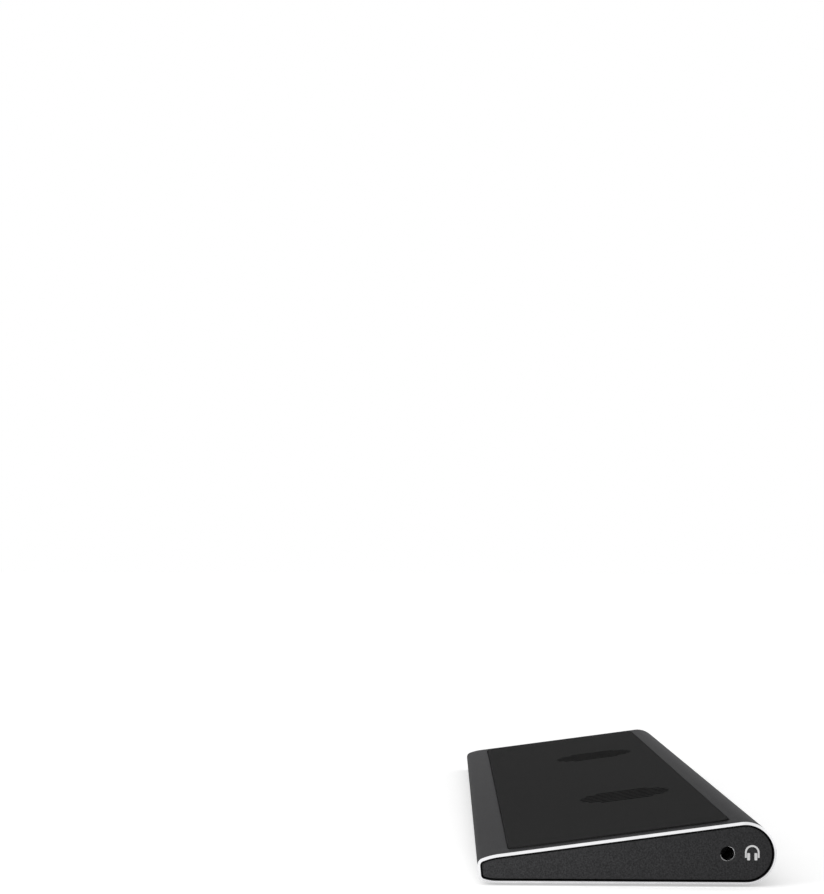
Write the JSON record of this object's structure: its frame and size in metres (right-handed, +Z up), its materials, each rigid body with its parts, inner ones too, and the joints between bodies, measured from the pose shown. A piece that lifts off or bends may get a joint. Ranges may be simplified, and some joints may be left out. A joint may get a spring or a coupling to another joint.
{
  "type": "laptop cooling pad",
  "caption": "Slim wedge-shaped laptop riser bar in black aluminium with internal blowers, top intake grilles, rear air slots, a headset socket and a small hub.",
  "frame": {"origin": "on the surface that the feet stand on, below the middle of the bar", "axes": "+X along the bar to the end with the headset socket, +Y to the round rear edge, +Z up"},
  "size_m": [0.33, 0.0789, 0.017],
  "materials": {
    "sleeve": "satin black anodised, with bright cut chamfers at the ends",
    "top_pad": "matte black silicone",
    "feet": "matte black rubber",
    "end_plates": "dark grey satin with a fine grain",
    "moulded_plastic": "matte black",
    "screws": "satin steel",
    "boards": "green solder mask",
    "chips": "matte black moulding",
    "insulators": "matte black moulding",
    "socket_metal": "plated stamped steel",
    "button": "satin black",
    "light_pipe": "frosted clear",
    "connectors": "natural white nylon",
    "ribbon": "grey film",
    "fan_plastic": "matte black glass-filled plastic",
    "gaskets": "open-cell foam",
    "bushes": "sintered bronze",
    "stators": "copper windings",
    "leads": "matte black jacket"
  },
  "bodies": {
    "base": {"sleeve": "sleeve", "top_pad": "top_pad", "front_foot": "feet", "rear_foot": "feet", "right_end_plate": "end_plates", "left_end_plate": "end_plates", "right_end_frame": "moulded_plastic", "left_end_frame": "moulded_plastic", "right_end_screw_front": "screws", "right_end_screw_rear": "screws", "left_end_screw_front": "screws", "left_end_screw_rear": "screws", "audio_board": "boards", "main_board": "boards", "audio_board_screw_front": "screws", "audio_board_screw_rear": "screws", "main_board_screw_front": "screws", "main_board_screw_rear": "screws", "audio_codec_chip": "chips", "hub_chip": "chips", "audio_jack_body": "insulators", "audio_jack_ferrule": "socket_metal", "usb_c_shell": "socket_metal", "usb_a_front_shell": "socket_metal", "usb_a_rear_shell": "socket_metal", "usb_c_tongue": "insulators", "usb_a_front_tongue": "insulators", "usb_a_rear_tongue": "insulators", "button_switch": "chips", "status_light_pipe": "light_pipe", "status_light": "connectors", "ribbon_cable": "ribbon", "ribbon_connector_left": "connectors", "ribbon_connector_right": "connectors", "fan_left_housing": "fan_plastic", "fan_left_cover": "fan_plastic", "fan_left_gasket": "gaskets", "fan_left_bush": "bushes", "fan_left_stator": "stators", "fan_left_screw_front": "screws", "fan_left_screw_rear": "screws", "fan_left_lead": "leads", "fan_left_plug": "connectors", "fan_right_housing": "fan_plastic", "fan_right_cover": "fan_plastic", "fan_right_gasket": "gaskets", "fan_right_bush": "bushes", "fan_right_stator": "stators", "fan_right_screw_front": "screws", "fan_right_screw_rear": "screws", "fan_right_lead": "leads", "fan_right_plug": "connectors"},
    "fan_left_rotor": {"fan_left_impeller": "fan_plastic", "fan_left_shaft": "screws"},
    "fan_right_rotor": {"fan_right_impeller": "fan_plastic", "fan_right_shaft": "screws"},
    "fan_button_cap": {"fan_button": "button"}
  },
  "joints": [
    {"name": "fan_left_spin", "type": "hinge", "parent": "base", "child": "fan_left_rotor", "pos_m": [-0.07, 0.007, 0.01377], "axis": [0, -0.1349, 0.9909], "continuous": true},
    {"name": "fan_right_spin", "type": "hinge", "parent": "base", "child": "fan_right_rotor", "pos_m": [0.07, 0.007, 0.01377], "axis": [0, -0.1349, 0.9909], "continuous": true},
    {"name": "fan_button_press", "type": "slide", "parent": "base", "child": "fan_button_cap", "axis": [1, 0, 0], "range_m": [0, 0.0006], "stiffness_N_per_m": 400, "springref_m": -0.001}
  ]
}
